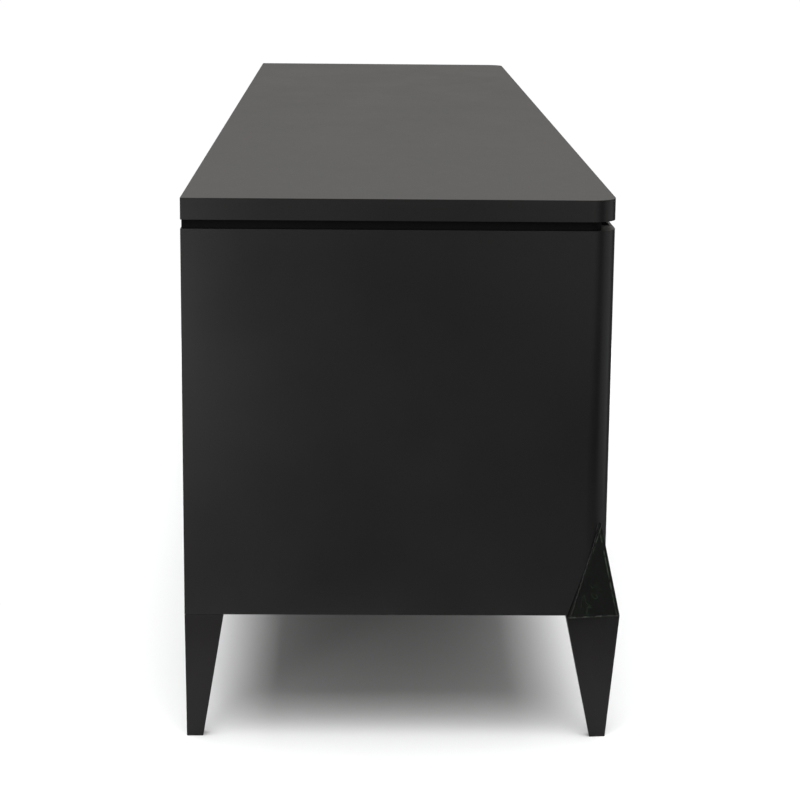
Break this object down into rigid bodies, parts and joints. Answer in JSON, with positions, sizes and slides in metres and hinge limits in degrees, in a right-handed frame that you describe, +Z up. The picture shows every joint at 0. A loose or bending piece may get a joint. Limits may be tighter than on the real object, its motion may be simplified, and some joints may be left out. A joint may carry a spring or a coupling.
{
  "type": "dresser with drawers",
  "caption": "Long low dresser in satin black lacquer: floating top with rounded front corners, handleless sliding drawers, tapered legs and faceted dark crystal points at the front corners.",
  "frame": {"origin": "on the floor at the middle of the overall outline, leg and crystal points included", "axes": "+X along the length, +Y to the back so that the drawers open along -Y, +Z up"},
  "size_m": [2.249, 0.517, 0.647],
  "materials": {
    "black_lacquer": "satin black lacquer",
    "black_carcass": "matt black stain",
    "dark_crystal": "polished, very dark green",
    "pale_wood": "clear matt varnish",
    "zinc_steel": "zinc plated"
  },
  "bodies": {
    "carcass": {"top_panel": "black_lacquer", "spacer_panel": "black_carcass", "sub_top_panel": "black_carcass", "end_panel_left": "black_lacquer", "end_panel_right": "black_lacquer", "divider_left": "black_carcass", "divider_right": "black_carcass", "bottom_panel": "black_lacquer", "back_panel": "black_lacquer", "mid_rail": "black_carcass", "leg_front_left": "black_lacquer", "leg_rear_left": "black_lacquer", "leg_crystal_left": "dark_crystal", "leg_front_right": "black_lacquer", "leg_rear_right": "black_lacquer", "leg_crystal_right": "dark_crystal", "runner_fixed_lower_left_left": "zinc_steel", "runner_fixed_lower_left_right": "zinc_steel", "runner_fixed_lower_centre_left": "zinc_steel", "runner_fixed_lower_centre_right": "zinc_steel", "runner_fixed_lower_right_left": "zinc_steel", "runner_fixed_lower_right_right": "zinc_steel", "runner_fixed_upper_left_left": "zinc_steel", "runner_fixed_upper_left_right": "zinc_steel", "runner_fixed_upper_centre_left": "zinc_steel", "runner_fixed_upper_centre_right": "zinc_steel", "runner_fixed_upper_right_left": "zinc_steel", "runner_fixed_upper_right_right": "zinc_steel"},
    "drawer_lower_left": {"drawer_front_lower_left": "black_lacquer", "drawer_box_lower_left": "pale_wood", "drawer_bottom_lower_left": "pale_wood", "runner_moving_lower_left_left": "zinc_steel", "runner_moving_lower_left_right": "zinc_steel"},
    "drawer_lower_centre": {"drawer_front_lower_centre": "black_lacquer", "drawer_box_lower_centre": "pale_wood", "drawer_bottom_lower_centre": "pale_wood", "runner_moving_lower_centre_left": "zinc_steel", "runner_moving_lower_centre_right": "zinc_steel"},
    "drawer_lower_right": {"drawer_front_lower_right": "black_lacquer", "drawer_box_lower_right": "pale_wood", "drawer_bottom_lower_right": "pale_wood", "runner_moving_lower_right_left": "zinc_steel", "runner_moving_lower_right_right": "zinc_steel"},
    "drawer_upper_left": {"drawer_front_upper_left": "black_lacquer", "drawer_box_upper_left": "pale_wood", "drawer_bottom_upper_left": "pale_wood", "runner_moving_upper_left_left": "zinc_steel", "runner_moving_upper_left_right": "zinc_steel"},
    "drawer_upper_centre": {"drawer_front_upper_centre": "black_lacquer", "drawer_box_upper_centre": "pale_wood", "drawer_bottom_upper_centre": "pale_wood", "runner_moving_upper_centre_left": "zinc_steel", "runner_moving_upper_centre_right": "zinc_steel"},
    "drawer_upper_right": {"drawer_front_upper_right": "black_lacquer", "drawer_box_upper_right": "pale_wood", "drawer_bottom_upper_right": "pale_wood", "runner_moving_upper_right_left": "zinc_steel", "runner_moving_upper_right_right": "zinc_steel"}
  },
  "joints": [
    {"name": "slide_lower_left", "type": "slide", "parent": "carcass", "child": "drawer_lower_left", "axis": [0, -1, 0], "range_m": [0, 0.3]},
    {"name": "slide_lower_centre", "type": "slide", "parent": "carcass", "child": "drawer_lower_centre", "axis": [0, -1, 0], "range_m": [0, 0.3]},
    {"name": "slide_lower_right", "type": "slide", "parent": "carcass", "child": "drawer_lower_right", "axis": [0, -1, 0], "range_m": [0, 0.3]},
    {"name": "slide_upper_left", "type": "slide", "parent": "carcass", "child": "drawer_upper_left", "axis": [0, -1, 0], "range_m": [0, 0.3]},
    {"name": "slide_upper_centre", "type": "slide", "parent": "carcass", "child": "drawer_upper_centre", "axis": [0, -1, 0], "range_m": [0, 0.3]},
    {"name": "slide_upper_right", "type": "slide", "parent": "carcass", "child": "drawer_upper_right", "axis": [0, -1, 0], "range_m": [0, 0.3]}
  ]
}
